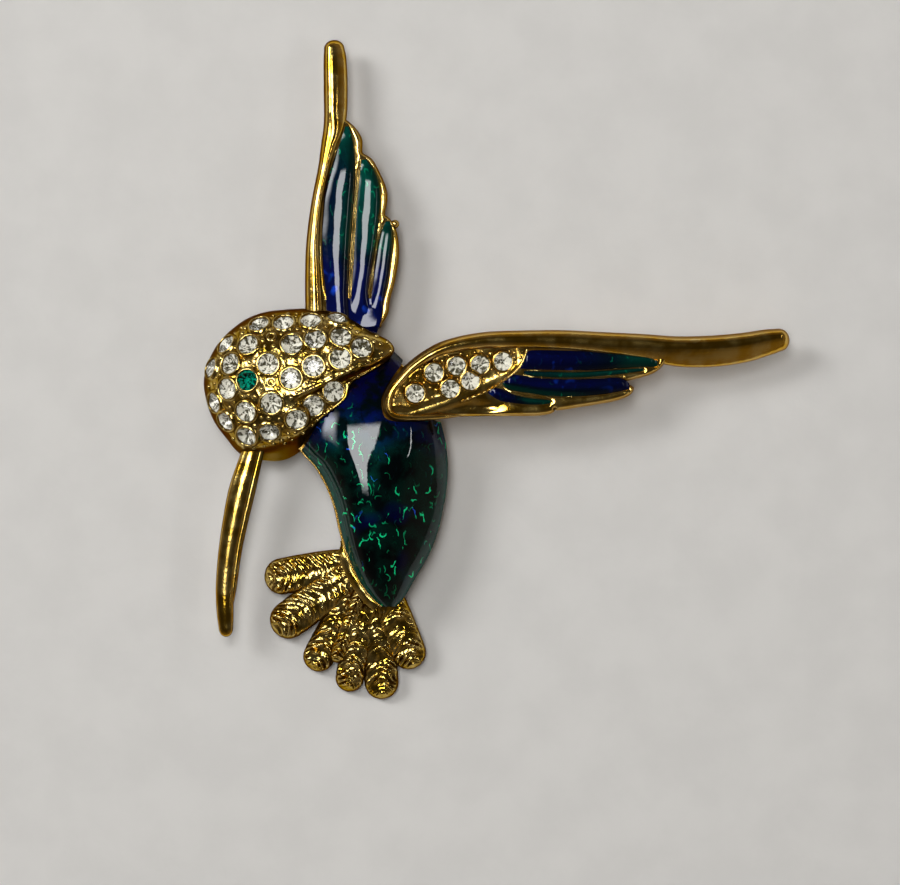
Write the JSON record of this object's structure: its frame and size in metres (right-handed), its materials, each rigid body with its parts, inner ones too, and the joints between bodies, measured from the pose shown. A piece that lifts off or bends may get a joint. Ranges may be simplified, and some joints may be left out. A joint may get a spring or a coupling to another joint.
{
  "type": "hummingbird brooch",
  "caption": "Hummingbird brooch: gilt cast bird with raised wings, fan tail and long beak, crystal-set head, blue and green enamel body and feathers, bar pin across the back.",
  "frame": {"origin": "centre of the brooch's bounding box in plan, on the surface it lies on", "axes": "+Z out of the brooch's front, towards the viewer; +Y from the tail's tips to the raised wing's tip; +X from the beak's side to the long wing's tip"},
  "size_m": [0.0588, 0.0664, 0.0108],
  "materials": {
    "gold_plate": "polished",
    "body_enamel": "gloss",
    "wing_enamel": "gloss",
    "clear_crystal": "polished",
    "eye_crystal": "polished"
  },
  "bodies": {
    "root": {"casting": "gold_plate", "body_enamel": "body_enamel", "far_wing_enamel": "wing_enamel", "near_wing_enamel_1": "wing_enamel", "near_wing_enamel_2": "wing_enamel", "near_wing_enamel_3": "wing_enamel", "near_wing_enamel_4": "wing_enamel", "eye_stone": "eye_crystal", "head_stone_1": "clear_crystal", "head_stone_2": "clear_crystal", "head_stone_3": "clear_crystal", "head_stone_4": "clear_crystal", "head_stone_5": "clear_crystal", "head_stone_6": "clear_crystal", "head_stone_7": "clear_crystal", "head_stone_8": "clear_crystal", "head_stone_9": "clear_crystal", "head_stone_10": "clear_crystal", "head_stone_11": "clear_crystal", "head_stone_12": "clear_crystal", "head_stone_13": "clear_crystal", "head_stone_14": "clear_crystal", "head_stone_15": "clear_crystal", "head_stone_16": "clear_crystal", "head_stone_17": "clear_crystal", "head_stone_18": "clear_crystal", "head_stone_19": "clear_crystal", "head_stone_20": "clear_crystal", "head_stone_21": "clear_crystal", "head_stone_22": "clear_crystal", "head_stone_23": "clear_crystal", "head_stone_24": "clear_crystal", "head_stone_25": "clear_crystal", "head_stone_26": "clear_crystal", "wing_stone_1": "clear_crystal", "wing_stone_2": "clear_crystal", "wing_stone_3": "clear_crystal", "wing_stone_4": "clear_crystal", "wing_stone_5": "clear_crystal", "wing_stone_6": "clear_crystal", "wing_stone_7": "clear_crystal", "pin_back": "gold_plate"}
  },
  "joints": []
}
